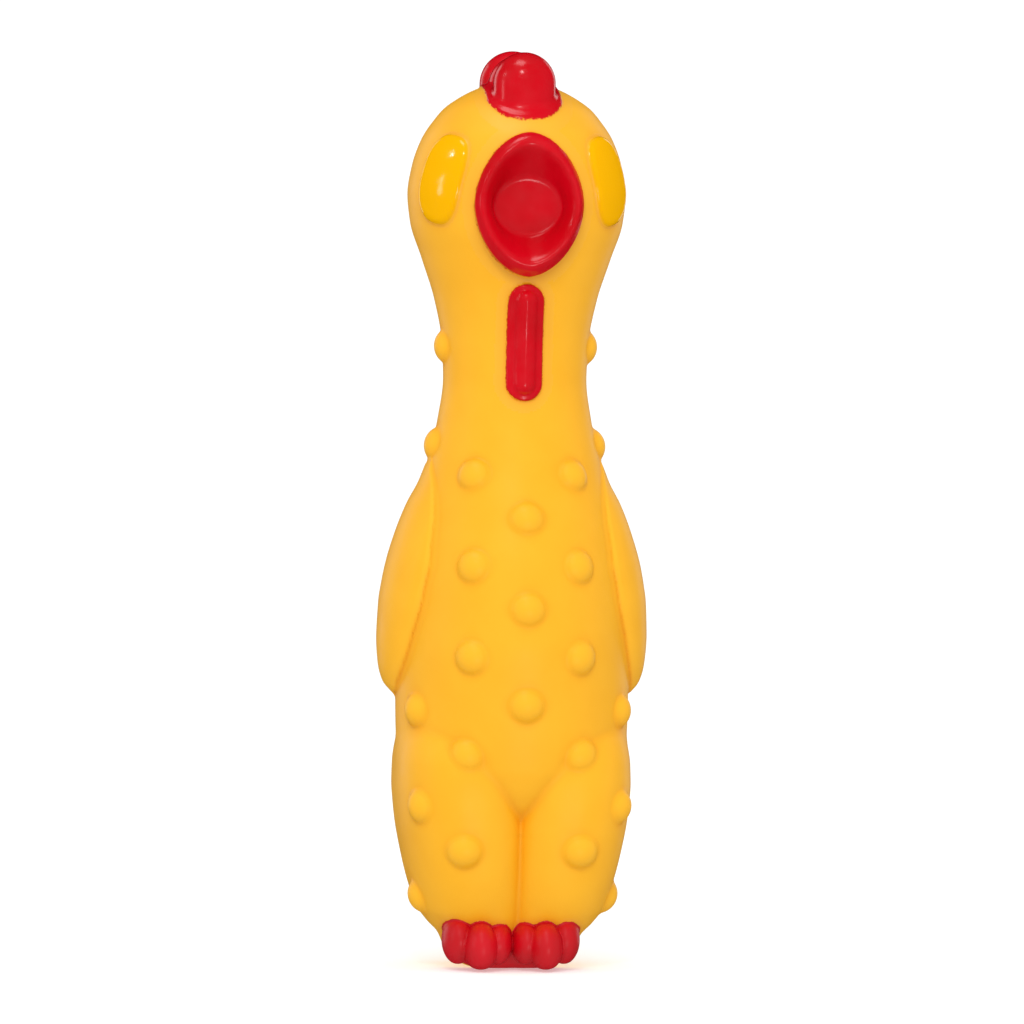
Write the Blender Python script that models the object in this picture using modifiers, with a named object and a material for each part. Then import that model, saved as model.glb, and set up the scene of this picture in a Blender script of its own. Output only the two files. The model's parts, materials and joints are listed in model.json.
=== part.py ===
"""Squeaky rubber chicken: a hollow soft moulding in flexing segments, raised features, and a squeaker in the sole.

Metres, +Z up. The chicken stands on its sole at z = 0 and faces -Y; x = 0 is its mirror plane, and +X is its own left.
"""

import math

import bmesh
import bpy
import numpy as np
from mathutils import Matrix, Vector

MM = 0.001
GAP = 0.3 * MM  # between any two pieces
WALL = 2.2 * MM  # of the moulded skin
SOLE_WALL = 2.4 * MM
FAR = 60 * MM  # reach of a cutter that has to pass the whole chicken

# The skin's outline in mm: height, half width, front depth, back depth, depth of the front groove and of the back
# groove between the legs.
OUTLINE = (
    (0.0, 12.8, 5.5, 13.8, 0.0, 0.0),
    (1.0, 13.7, 7.8, 15.0, 0.3, 0.3),
    (4.0, 14.8, 11.5, 17.0, 2.0, 1.5),
    (9.0, 16.4, 14.6, 18.4, 4.2, 3.0),
    (15.5, 20.0, 17.2, 19.8, 4.8, 3.4),
    (22.0, 22.8, 19.2, 20.8, 4.8, 3.2),
    (28.0, 24.4, 20.8, 21.6, 4.6, 2.6),
    (34.0, 25.4, 21.8, 22.4, 3.0, 1.6),
    (42.0, 25.9, 22.2, 23.2, 0.0, 0.0),
    (50.0, 25.3, 23.2, 23.8, 0.0, 0.0),
    (59.0, 25.3, 25.9, 24.2, 0.0, 0.0),
    (72.0, 24.9, 28.0, 24.2, 0.0, 0.0),
    (87.0, 23.8, 26.6, 23.2, 0.0, 0.0),
    (100.0, 21.4, 23.0, 21.4, 0.0, 0.0),
    (111.0, 18.8, 19.0, 18.4, 0.0, 0.0),
    (120.0, 16.8, 16.9, 16.4, 0.0, 0.0),
    (128.6, 15.7, 16.0, 15.5, 0.0, 0.0),
    (137.0, 16.1, 16.6, 15.9, 0.0, 0.0),
    (146.0, 17.8, 18.6, 17.3, 0.0, 0.0),
    (155.0, 20.6, 21.3, 19.6, 0.0, 0.0),
    (163.0, 23.2, 23.5, 21.8, 0.0, 0.0),
    (169.0, 23.9, 24.2, 22.6, 0.0, 0.0),
    (175.0, 22.9, 23.9, 22.4, 0.0, 0.0),
    (181.0, 20.8, 22.0, 20.9, 0.0, 0.0),
    (187.0, 16.1, 17.0, 17.0, 0.0, 0.0),
    (190.0, 12.2, 12.8, 13.2, 0.0, 0.0),
    (192.2, 7.0, 7.2, 7.6, 0.0, 0.0),
    (193.0, 1.5, 1.5, 1.5, 0.0, 0.0),
)
GROOVE_WIDTH = 2.0 * MM
CROWN = OUTLINE[-1][0] * MM

# Heights of the loft's rows, and the directions of its columns in degrees from the front; close together at the
# groove between the legs.
ROWS = (0, 1, 3, 6.5, 11, 17, 24, 31, 37, 44, 51, 59, 67, 75, 83, 91, 99, 107, 115, 123, 131, 138, 145, 152)
ROWS += (159, 165, 171, 176.5, 181.5, 185.5, 188.5, 190.8, 192.3, 193)
QUARTER = (0, 5, 12, 23, 35, 49, 63, 77)
CAVITY_ROWS = 24
CAVITY_COLUMNS = 20

# Where the moulding is split, from the sole up.
WAIST = (41.9 * MM, 52.8 * MM)
LOWER_NECK = (103.5 * MM, 111.6 * MM)
UPPER_NECK = (119.3 * MM, 128.3 * MM)

# Nubs: directions in degrees from the front, and the heights that have them, in mm.
NUB_RADIUS = 3.6 * MM
NUB_HEIGHT = 2.0 * MM
NUB_TURN = math.radians(11)  # about its own axis, so that no edge falls on the skin's own edges
NUBS = (
    ((0,), (58.1, 79.0, 98.6)),
    ((180,), (16.0, 36.4, 79.0, 98.8, 124.0, 144.0)),
    ((29.5, -29.5), (26.4, 47.7, 68.5, 88.2)),
    ((33.6, -33.6), (107.9,)),
    ((61.5, -61.5), (56.6,)),
    ((52.5, -52.5), (36.0,)),
    ((75, -75), (15.6,)),
    ((86, -86), (114.5, 135.6)),
    ((139, -139), (36.4, 57.6)),
    ((152, -152), (26.5, 47.7, 68.5, 88.3, 107.9, 134.0)),
)

# Belly panel: the part of the front wall that a thumb pushes in.
PANEL_HALF_WIDTH = 17.0 * MM
PANEL = (62.7 * MM, 94.3 * MM)
PANEL_CORNER = 5.0 * MM

# Belly lobe that ends in a point between the thighs: height, half width and how far it stands proud of the skin, in mm.
BELLY_LOBE = (
    (31.7, 1.6, -1.6),
    (34.2, 3.2, 0.3),
    (39.0, 6.4, 1.2),
    (45.0, 11.0, 1.7),
    (51.0, 16.4, 1.3),
    (57.0, 20.0, 0.2),
)
LOBE_DEPTH = 5.0 * MM
LOBE_SIDES = 16

# Wing: height, direction of its front edge and back edge in degrees, and thickness, in mm.
WING = (
    (107.0, 72, 96, -0.6),
    (104.0, 64, 112, 0.9),
    (98.0, 58, 122, 2.2),
    (90.0, 56, 128, 3.4),
    (82.0, 59, 129, 4.5),
    (74.0, 65, 126, 5.1),
    (68.0, 71, 121, 4.9),
    (63.5, 77, 114, 3.8),
    (61.0, 84, 107, 1.6),
)
WING_COLUMNS = 14

# Head features.
EYE_DIRECTION = 51
EYE_HEIGHT = 171.9 * MM
EYE_SUNK = 1.0 * MM
EYE_RADII = (5.8 * MM, 3.1 * MM, 9.7 * MM)
COMB_RIDGE = (Vector((0, -0.6 * MM, 190.6 * MM)), (13.0 * MM, 27.0 * MM, 10.4 * MM))
COMB_LOBES = (
    (Vector((0, -11.6 * MM, 190.2 * MM)), (15.2 * MM, 9.8 * MM, 18.8 * MM)),
    (Vector((0, -1.2 * MM, 191.7 * MM)), (13.8 * MM, 9.4 * MM, 15.4 * MM)),
    (Vector((0, 9.2 * MM, 192.9 * MM)), (14.6 * MM, 9.4 * MM, 15.6 * MM)),
)
BEAK_CENTRE = 166.8 * MM
BEAK_HALF_WIDTH = 11.9 * MM
BEAK_HALF_HEIGHT = 15.6 * MM
BEAK_CREST_SIDE = 25.2 * MM  # how far forward the lips' crest is at the corners
BEAK_CREST_TIP = 28.6 * MM  # and at the two tips
MOUTH_SHARE = 0.72  # of the beak's outline that the mouth opening takes
MOUTH_FLOOR = 17.0 * MM  # depth coordinate of the funnel's floor
POCKET_WALL = 1.3 * MM
BEAK_COLUMNS = 24
BEAK_POWER = 1.75  # of the superellipse; 2 is an ellipse, and less is more pointed
WATTLE = (124.4 * MM, 149.2 * MM)
WATTLE_RADIUS = 4.1 * MM
WATTLE_RIDGE = 2.3 * MM
WATTLE_LAYERS = ((1.0, 0.8 * MM), (0.82, 1.4 * MM))  # share of the outline, height above the skin
RIDGE_LAYERS = ((1.0, 1.0 * MM), (0.95, 2.2 * MM), (0.6, 2.8 * MM))

# Toes of the left foot: name, centre and radii. Each one is cut flat where it would pass below the floor.
TOES = (
    ("middle", (7.1, -15.0, 5.1), (3.6, 6.4, 5.5)),
    ("inner", (2.6, -11.8, 6.0), (2.4, 6.6, 5.2)),
    ("outer", (12.1, -10.6, 5.6), (2.9, 6.4, 5.8)),
)
TOE_FLOOR = 0.0

# Squeaker, in the middle of the sole.
SQUEAKER_Y = 4.3 * MM
SQUEAKER_STEPS = 24
# Profiles of its turned parts: radius and height in mm.
CUP_PROFILE = (
    (1.4, 0.5),
    (5.7, 0.5),
    (5.7, 2.8),
    (6.9, 2.8),
    (6.9, 3.8),
    (5.7, 4.6),
    (5.7, 9.4),
    (4.8, 9.4),
    (4.8, 1.6),
    (1.4, 1.6),
)
PLATE_PROFILE = ((0.8, 5.6), (4.5, 5.6), (4.5, 6.6), (0.8, 6.6))
CAP_PROFILE = ((1.0, 9.7), (6.2, 9.7), (6.2, 10.6), (5.2, 11.8), (1.0, 12.4))
HOLE_PROFILE = ((0.01, -5.0), (6.0, -5.0), (6.0, 3.0), (0.01, 3.0))
# Opposite corners of its square parts in mm, from the squeaker's axis.
PLATE_WEB = ((-1.1, -1.1, 5.6), (1.1, 1.1, 6.6))
REED_SLOT = ((-0.8, -2.6, 5.0), (0.8, 1.2, 7.0))
REED = ((-1.2, -3.2, 6.9), (1.2, 3.2, 7.15))
CLAMP = ((-1.6, 1.9, 7.45), (1.6, 3.6, 8.6))

TAIL = (Vector((0, 24.2, 60.5)) * MM, Vector((5.0, 6.6, 7.6)) * MM)

# Each moving piece, the piece it hangs from, and a point on the axis of its joint.
MOVING = (
    ("torso_skin", "legs_skin", Vector((0, 0, 47.4)) * MM),
    ("belly_panel", "torso_skin", Vector((0, -26.0, 78.5)) * MM),
    ("neck_skin", "torso_skin", Vector((0, 0, 107.5)) * MM),
    ("head_skin", "neck_skin", Vector((0, 0, 123.8)) * MM),
    ("squeaker_reed", "squeaker_plate", Vector((0, 7.05, 7.02)) * MM),
)
# The pieces that ride on each main piece.
CARRIED = {
    "legs_skin": (
        *(f"{side}_{toe[0]}_toe" for side in ("left", "right") for toe in TOES),
        "squeaker_cup",
        "squeaker_plate",
        "squeaker_clamp",
        "squeaker_cap",
    ),
    "torso_skin": ("waist_band", "left_wing", "right_wing", "tail"),
    "neck_skin": ("lower_neck_band",),
    "head_skin": ("upper_neck_band", "comb", "beak_rim", "mouth_pocket", "wattle", "left_eye", "right_eye"),
}

YELLOW = (0.97, 0.49, 0.03)
RED = (0.70, 0.0, 0.01)
MILK_WHITE = (0.85, 0.84, 0.80)
REED_FILM = (0.75, 0.78, 0.80)
SMOOTH_ANGLE = math.radians(35)


def clear_scene():
    for obj in list(bpy.data.objects):
        bpy.data.objects.remove(obj, do_unlink=True)


def new_collection(name, hidden=False):
    collection = bpy.data.collections.new(name)
    bpy.context.scene.collection.children.link(collection)
    collection.hide_render = hidden
    return collection


def material(name, colour, roughness):
    made = bpy.data.materials.new(name)
    made.use_nodes = True
    shader = made.node_tree.nodes["Principled BSDF"]
    shader.inputs["Base Color"].default_value = (*colour, 1)
    shader.inputs["Roughness"].default_value = roughness
    return made


def object_from(name, bm):
    """A helper object holding the bmesh, its faces turned outwards."""
    bmesh.ops.recalc_face_normals(bm, faces=bm.faces)
    mesh = bpy.data.meshes.new(name)
    bm.to_mesh(mesh)
    bm.free()
    obj = bpy.data.objects.new(name, mesh)
    cutters.objects.link(obj)
    obj.hide_render = True
    obj.display_type = "WIRE"
    return obj


def as_part(obj, colour, roughness):
    """Turns a helper into a piece of the chicken."""
    cutters.objects.unlink(obj)
    chicken.objects.link(obj)
    obj.hide_render = False
    obj.display_type = "TEXTURED"
    obj.data.materials.clear()
    obj.data.materials.append(material(obj.name, colour, roughness))
    for face in obj.data.polygons:
        face.material_index = 0
    obj.data.shade_smooth()
    obj.data.set_sharp_from_angle(angle=SMOOTH_ANGLE)
    return obj


def apply_modifiers(obj):
    graph = bpy.context.evaluated_depsgraph_get()
    graph.update()
    old = obj.data
    obj.data = bpy.data.meshes.new_from_object(obj.evaluated_get(graph))
    obj.modifiers.clear()
    bpy.data.meshes.remove(old)
    obj.data.name = obj.name
    return obj


def boolean(obj, operation, other, solver="EXACT"):
    """Applies one Boolean to the object's own mesh."""
    modifier = obj.modifiers.new(operation.title(), "BOOLEAN")
    modifier.operation = operation
    modifier.solver = solver
    modifier.object = other
    return apply_modifiers(obj)


def copy_of(obj, name):
    twin = obj.copy()
    twin.data = obj.data.copy()
    twin.name = name
    twin.data.name = name
    cutters.objects.link(twin)
    return twin


def mirrored(obj, name):
    """A copy of the object on the other side of x = 0."""
    twin = copy_of(obj, name)
    twin.data.transform(Matrix.Scale(-1, 4, (1, 0, 0)))
    twin.data.flip_normals()
    return twin


def box(name, low, high):
    bm = bmesh.new()
    bmesh.ops.create_cube(bm, size=1)
    size = Vector(high) - Vector(low)
    bmesh.ops.scale(bm, vec=size, verts=bm.verts)
    bmesh.ops.translate(bm, vec=(Vector(low) + Vector(high)) / 2, verts=bm.verts)
    return object_from(name, bm)


def ball(name, centre, radii, segments=12, rings=8, turn=0.0):
    """An ellipsoid, turned about Z by an angle in degrees."""
    bm = bmesh.new()
    bmesh.ops.create_uvsphere(bm, u_segments=segments, v_segments=rings, radius=1)
    placed = Matrix.Translation(centre) @ Matrix.Rotation(math.radians(turn), 4, "Z") @ Matrix.Diagonal((*radii, 1))
    bmesh.ops.transform(bm, matrix=placed, verts=bm.verts)
    return object_from(name, bm)


def pillow(name, centre, size, cuts=2, roundness=0.42):
    """A box with generously rounded edges."""
    bm = bmesh.new()
    bmesh.ops.create_cube(bm, size=1)
    bmesh.ops.scale(bm, vec=size, verts=bm.verts)
    bmesh.ops.bevel(bm, geom=bm.edges, offset=roundness * min(size), segments=cuts, profile=0.5, affect="EDGES")
    bmesh.ops.translate(bm, vec=centre, verts=bm.verts)
    return object_from(name, bm)


def turned(name, profile, segments, centre):
    """A turned solid about a vertical axis, from a closed profile of (radius, height) in mm."""
    bm = bmesh.new()
    points = [bm.verts.new((radius * MM, 0, height * MM)) for radius, height in reversed(profile)]
    for pair in zip(points, points[1:] + points[:1]):
        bm.edges.new(pair)
    obj = object_from(name, bm)
    screw = obj.modifiers.new("Screw", "SCREW")
    screw.steps = segments
    screw.render_steps = segments
    screw.use_merge_vertices = True
    screw.merge_threshold = 0.01 * MM
    apply_modifiers(obj)
    obj.data.transform(Matrix.Translation(centre))
    return obj


def lofted(name, rings):
    """A closed solid through rings of matching points, capped at both ends."""
    bm = bmesh.new()
    rows = [[bm.verts.new(point) for point in ring] for ring in rings]
    for low, high in zip(rows, rows[1:]):
        for i in range(len(low)):
            j = (i + 1) % len(low)
            bm.faces.new((low[i], low[j], high[j], high[i]))
    caps = [bm.faces.new(rows[0][::-1]), bm.faces.new(rows[-1])]
    bmesh.ops.triangulate(bm, faces=caps)
    return object_from(name, bm)


def outline_at(height):
    """(half width, front depth, back depth, front groove, back groove) of the skin at a height, in metres."""
    table = np.array(OUTLINE) * MM
    z = table[:, 0]
    slopes = np.gradient(table[:, 1:], z, axis=0)
    steps = np.diff(table[:, 1:], axis=0) / np.diff(z)[:, None]
    limit = 3 * np.minimum(np.abs(np.vstack([steps[:1], steps])), np.abs(np.vstack([steps, steps[-1:]])))
    slopes = np.clip(slopes, -limit, limit)
    i = int(np.clip(np.searchsorted(z, height) - 1, 0, len(z) - 2))
    span = z[i + 1] - z[i]
    t = min(max((height - z[i]) / span, 0.0), 1.0)
    low, high = table[i, 1:], table[i + 1, 1:]
    bend = t * t * (3 - 2 * t)
    return low + (high - low) * bend + span * t * (1 - t) * ((1 - t) * slopes[i] - t * slopes[i + 1])


def skin_point(direction, height, proud=0.0):
    """The point of the skin's outline in a direction in degrees from the front, standing proud of it by a length."""
    width, front, back, front_groove, back_groove = outline_at(height)
    angle = math.radians(direction)
    depth = front if math.cos(angle) > 0 else back
    x = (width + proud) * math.sin(angle)
    y = -(depth + proud) * math.cos(angle)
    notch = math.exp(-((x / GROOVE_WIDTH) ** 2))
    y += notch * (front_groove if y < 0 else -back_groove)
    return Vector((x, y, height))


def columns():
    """Directions of the loft's columns, once round."""
    half = list(QUARTER) + [90] + [180 - a for a in reversed(QUARTER)]
    return half + [-a for a in reversed(half[1:-1])]


def skin_solid(name, proud=0.0):
    """The skin's outer shape as a solid, standing proud of it by a length."""
    rings = [[skin_point(a, z * MM, proud) for a in columns()] for z in ROWS]
    if proud:
        below = [p + Vector((0, 0, -proud)) for p in rings[0]]
        above = [p + Vector((0, 0, proud)) for p in rings[-1]]
        rings = [below, *rings, above]
    return lofted(name, rings)


def cavity_solid():
    """The hollow inside the skin: the outline moved inwards by the wall."""
    rings = []
    directions = np.arange(CAVITY_COLUMNS) * 360 / CAVITY_COLUMNS
    for height in np.linspace(SOLE_WALL, CROWN - WALL, CAVITY_ROWS):
        lower = outline_at(height - MM)[:3]
        upper = outline_at(height + MM)[:3]
        lean = (upper - lower) / (2 * MM)
        inset = np.minimum(WALL * np.sqrt(1 + lean**2), np.abs(outline_at(height)[:3]) * 0.75)
        width, front, back = outline_at(height)[:3] - inset
        _, _, _, front_groove, back_groove = outline_at(height)
        ring = []
        for angle in np.radians(directions):
            x = width * math.sin(angle)
            y = -(front if math.cos(angle) > 0 else back) * math.cos(angle)
            notch = math.exp(-((x / (GROOVE_WIDTH + WALL)) ** 2))
            ring.append((x, y + notch * (front_groove if y < 0 else -back_groove), height))
        rings.append(ring)
    return lofted("cavity", rings)


def outward(direction, height):
    """Unit normal of the skin at a point."""
    across = skin_point(direction + 2, height) - skin_point(direction - 2, height)
    up = skin_point(direction, height + MM) - skin_point(direction, height - MM)
    return across.cross(up).normalized()


def nub_solid():
    """All nubs as one helper: balls sunk into the skin."""
    radius = (NUB_RADIUS**2 + NUB_HEIGHT**2) / (2 * NUB_HEIGHT)
    bm = bmesh.new()
    for directions, heights in NUBS:
        for direction in directions:
            for height in heights:
                z = height * MM
                normal = outward(direction, z)
                centre = skin_point(direction, z) - normal * (radius - NUB_HEIGHT)
                placed = Matrix.Translation(centre) @ normal.to_track_quat("Z", "Y").to_matrix().to_4x4()
                placed = placed @ Matrix.Rotation(NUB_TURN, 4, "Z")
                bmesh.ops.create_uvsphere(bm, u_segments=8, v_segments=8, radius=radius, matrix=placed)
    return object_from("nubs", bm)


def belly_lobe():
    """The rounded end of the belly that hangs over the legs as a V."""
    rings = []
    for height, half_width, proud in BELLY_LOBE:
        z = height * MM
        width, front = outline_at(z)[:2] + proud * MM
        ring = []
        for i in range(LOBE_SIDES):
            angle = math.tau * i / LOBE_SIDES
            x = half_width * MM * math.sin(angle)
            y = -front * math.sqrt(max(0.0, 1 - (x / width) ** 2))
            inner_side = math.cos(angle) < -0.1
            ring.append((x, y + LOBE_DEPTH if inner_side else y, z))
        rings.append(ring)
    return lofted("belly_lobe", rings)


def slab(name, low, high):
    return box(name, (-FAR, -FAR, low), (FAR, FAR, high))


def panel_prism(name, spare):
    """A rounded rectangle through the front wall, larger than the panel by a margin on every side."""
    rings = []
    half_height = (PANEL[1] - PANEL[0]) / 2
    middle = (PANEL[0] + PANEL[1]) / 2
    for y in (-FAR, -10 * MM):
        ring = []
        for corner, (sx, sz) in enumerate(((1, 1), (-1, 1), (-1, -1), (1, -1))):
            for step in range(5):
                angle = math.radians(90 * corner + 22.5 * step)
                x = sx * (PANEL_HALF_WIDTH - PANEL_CORNER) + (PANEL_CORNER + spare) * math.cos(angle)
                z = sz * (half_height - PANEL_CORNER) + (PANEL_CORNER + spare) * math.sin(angle)
                ring.append((x, y, middle + z))
        rings.append(ring)
    return lofted(name, rings)


def beak_ring(share, depth, roundness=0.0, swell=0.0):
    """A pointed oval in front of the face: a share of the beak's outline, pushed forward at the two tips."""
    ring = []
    for i in range(BEAK_COLUMNS):
        angle = math.tau * i / BEAK_COLUMNS
        sharpness = 2 / (BEAK_POWER + (2 - BEAK_POWER) * roundness)
        across = math.copysign(abs(math.sin(angle)) ** sharpness, math.sin(angle))
        up = math.copysign(abs(math.cos(angle)) ** sharpness, math.cos(angle))
        y = -(depth + swell * up * up)
        ring.append((BEAK_HALF_WIDTH * across * share, y, BEAK_CENTRE + BEAK_HALF_HEIGHT * up * share))
    return ring


def beak_parts(envelope):
    """The lips standing proud of the face, the pocket sunk behind them, and the hole that the pocket needs."""
    swell = BEAK_CREST_TIP - BEAK_CREST_SIDE
    rim = lofted(
        "beak_rim",
        [
            beak_ring(1.0, 10 * MM),
            beak_ring(1.0, 22.6 * MM, 0, swell * 0.5),
            beak_ring(0.97, BEAK_CREST_SIDE - 0.9 * MM, 0, swell),
            beak_ring(0.90, BEAK_CREST_SIDE, 0, swell),
            beak_ring(0.84, BEAK_CREST_SIDE - 0.4 * MM, 0, swell),
        ],
    )
    hole_share = MOUTH_SHARE + (POCKET_WALL + GAP) / BEAK_HALF_WIDTH
    hole = lofted("mouth_hole", [beak_ring(hole_share, 8 * MM), beak_ring(hole_share, FAR)])
    plug_share = MOUTH_SHARE + POCKET_WALL / BEAK_HALF_WIDTH
    pocket = lofted(
        "mouth_pocket",
        [
            beak_ring(plug_share * 0.82, MOUTH_FLOOR - POCKET_WALL, 0.6),
            beak_ring(plug_share * 0.97, MOUTH_FLOOR + 3 * MM, 0.3),
            beak_ring(plug_share, 20 * MM),
            beak_ring(plug_share, BEAK_CREST_SIDE - 1.4 * MM, 0, swell * 0.9),
        ],
    )
    funnel = lofted(
        "funnel",
        [
            beak_ring(MOUTH_SHARE * 0.72, MOUTH_FLOOR, 0.8),
            beak_ring(MOUTH_SHARE * 0.88, MOUTH_FLOOR + 3 * MM, 0.5),
            beak_ring(MOUTH_SHARE * 0.97, 21 * MM, 0.1),
            beak_ring(MOUTH_SHARE * 1.02, 34 * MM),
        ],
    )
    boolean(rim, "DIFFERENCE", envelope)
    boolean(rim, "DIFFERENCE", hole)
    boolean(pocket, "DIFFERENCE", funnel)
    return as_part(rim, RED, 0.25), as_part(pocket, RED, 0.25), hole


def wing(envelope):
    """The left wing: a teardrop lying on the side, its tip down."""
    rings = []
    for height, front_edge, back_edge, thickness in WING:
        ring = []
        for i in range(WING_COLUMNS):
            turn = math.tau * i / WING_COLUMNS
            direction = (front_edge + back_edge) / 2 - (back_edge - front_edge) / 2 * math.cos(turn)
            rise = math.sin(turn)
            proud = thickness * MM * rise**0.8 if rise > 0 else 5 * MM * rise
            ring.append(skin_point(direction, height * MM, proud))
        rings.append(ring)
    made = lofted("left_wing", rings[::-1])
    boolean(made, "DIFFERENCE", envelope)
    return made


def comb(envelope):
    made = pillow("comb", *COMB_RIDGE)
    for i, (centre, size) in enumerate(COMB_LOBES):
        boolean(made, "UNION", pillow(f"comb_lobe_{i}", centre, size))
    boolean(made, "DIFFERENCE", envelope)
    return as_part(made, RED, 0.2)


def eye(envelope):
    """The left eye: a raised oval."""
    at = skin_point(EYE_DIRECTION, EYE_HEIGHT, -EYE_SUNK)
    made = ball("left_eye", at, EYE_RADII, 14, 10, EYE_DIRECTION)
    boolean(made, "DIFFERENCE", envelope)
    return made


def capsule_solid(name, low, high, radius, layers):
    """A capsule lying on the throat, built up in layers of (share of the outline, height above the skin)."""
    rings = []
    for share, proud in ((layers[0][0], -4 * MM), *layers):
        ring = []
        for i in range(16):
            angle = math.tau * (i + 0.5) / 16
            x = radius * share * math.cos(angle)
            end = high - radius if math.sin(angle) > 0 else low + radius
            z = end + radius * share * math.sin(angle)
            across = math.degrees(math.asin(x / outline_at(z)[0]))
            ring.append(skin_point(across, z, proud))
        rings.append(ring)
    return lofted(name, rings)


def wattle(envelope):
    """A capsule on the throat with a raised ridge down its middle."""
    low, high = WATTLE
    made = capsule_solid("wattle", low, high, WATTLE_RADIUS, WATTLE_LAYERS)
    boolean(made, "UNION", capsule_solid("wattle_ridge", low + MM, high - 0.6 * MM, WATTLE_RIDGE, RIDGE_LAYERS))
    boolean(made, "DIFFERENCE", envelope)
    return as_part(made, RED, 0.25)


def toes(envelope):
    """Six toes, three to a foot; the middle one lies in front of the other two."""
    floor = box("floor", (-FAR, -FAR, -FAR), (FAR, FAR, TOE_FLOOR))
    _, middle_centre, middle_radii = TOES[0]
    for name, centre, radii in TOES:
        made = ball(f"left_{name}_toe", Vector(centre) * MM, Vector(radii) * MM, 12, 9)
        if name != "middle":
            grown = Vector(middle_radii) * MM + Vector((GAP, GAP, GAP)) * 1.6
            boolean(made, "DIFFERENCE", ball("toe_room", Vector(middle_centre) * MM, grown, 12, 9))
        boolean(made, "DIFFERENCE", envelope)
        boolean(made, "DIFFERENCE", floor)
        as_part(mirrored(made, f"right_{name}_toe"), RED, 0.25)
        as_part(made, RED, 0.25)


def tail():
    """A short stub low on the back."""
    return ball("tail", *TAIL, 14, 10)


def square(name, corners):
    """A square part of the squeaker, between two corners given from its axis."""
    low, high = (Vector((x, y, z)) * MM + Vector((0, SQUEAKER_Y, 0)) for x, y, z in corners)
    return box(name, low, high)


def squeaker():
    """A flanged cup pressed into the sole, with a reed over a slotted plate, a clamp and a cap."""
    axis = Vector((0, SQUEAKER_Y, 0))
    plate = turned("squeaker_plate", PLATE_PROFILE, SQUEAKER_STEPS, axis)
    boolean(plate, "UNION", square("plate_web", PLATE_WEB))
    boolean(plate, "DIFFERENCE", square("reed_slot", REED_SLOT))
    as_part(plate, MILK_WHITE, 0.35)
    as_part(turned("squeaker_cup", CUP_PROFILE, SQUEAKER_STEPS, axis), MILK_WHITE, 0.35)
    as_part(turned("squeaker_cap", CAP_PROFILE, SQUEAKER_STEPS, axis), MILK_WHITE, 0.35)
    as_part(square("squeaker_clamp", CLAMP), MILK_WHITE, 0.35)
    as_part(square("squeaker_reed", REED), REED_FILM, 0.2)
    return turned("squeaker_hole", HOLE_PROFILE, SQUEAKER_STEPS, axis)


def moulded_skin(mouth_hole, squeaker_hole):
    """The skin with its nubs and belly lobe, hollowed, split into segments at the flex lines."""
    master = skin_solid("master")
    boolean(master, "UNION", belly_lobe())
    boolean(master, "UNION", nub_solid(), "MANIFOLD")
    boolean(master, "DIFFERENCE", cavity_solid())
    cuts = (
        ("legs_skin", -FAR, WAIST[0] - GAP),
        ("waist_band", *WAIST),
        ("torso_skin", WAIST[1] + GAP, LOWER_NECK[0] - GAP),
        ("lower_neck_band", *LOWER_NECK),
        ("neck_skin", LOWER_NECK[1] + GAP, UPPER_NECK[0] - GAP),
        ("upper_neck_band", *UPPER_NECK),
        ("head_skin", UPPER_NECK[1] + GAP, CROWN + FAR),
    )
    segments = {}
    for name, low, high in cuts:
        segments[name] = boolean(copy_of(master, name), "INTERSECT", slab(f"{name}_slab", low, high))
    panel = boolean(copy_of(segments["torso_skin"], "belly_panel"), "INTERSECT", panel_prism("panel_prism", 0))
    boolean(segments["torso_skin"], "DIFFERENCE", panel_prism("panel_opening", GAP))
    boolean(segments["head_skin"], "DIFFERENCE", mouth_hole)
    boolean(segments["legs_skin"], "DIFFERENCE", squeaker_hole)
    for segment in [*segments.values(), panel]:
        as_part(segment, YELLOW, 0.45)


def hang(name, parent_name, pivot):
    """Puts a piece's origin at a point and hangs it from its parent, without moving its shape."""
    obj = bpy.data.objects[name]
    obj.data.transform(Matrix.Translation(-pivot))
    obj.location = pivot
    obj.parent = bpy.data.objects[parent_name]
    bpy.context.view_layer.update()
    obj.matrix_parent_inverse = obj.parent.matrix_world.inverted()


def rig():
    for name, parent_name, pivot in MOVING:
        hang(name, parent_name, pivot)
    for main_name, names in CARRIED.items():
        for name in names:
            hang(name, main_name, Vector())


def main():
    envelope = skin_solid("envelope", GAP)
    _, _, mouth_hole = beak_parts(envelope)
    moulded_skin(mouth_hole, squeaker())
    comb(envelope)
    wattle(envelope)
    for made, other in ((eye(envelope), "right_eye"), (wing(envelope), "right_wing")):
        as_part(mirrored(made, other), YELLOW, 0.4)
        as_part(made, YELLOW, 0.4)
    as_part(boolean(tail(), "DIFFERENCE", envelope), YELLOW, 0.45)
    toes(envelope)
    rig()


clear_scene()
chicken = new_collection("rubber_chicken")
cutters = new_collection("cutters", hidden=True)
main()
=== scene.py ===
"""Rubber chicken: the visible skin, its paint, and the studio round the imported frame.

The whole moulding is one implicit surface in millimetres: a function that is negative inside it. It is
meshed once, and then shared out between the pieces that stand for the CAD nodes, so that the seams between
pieces don't show.
"""

import json
import math

import bpy
import numpy as np
from mathutils import Matrix, Vector


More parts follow.
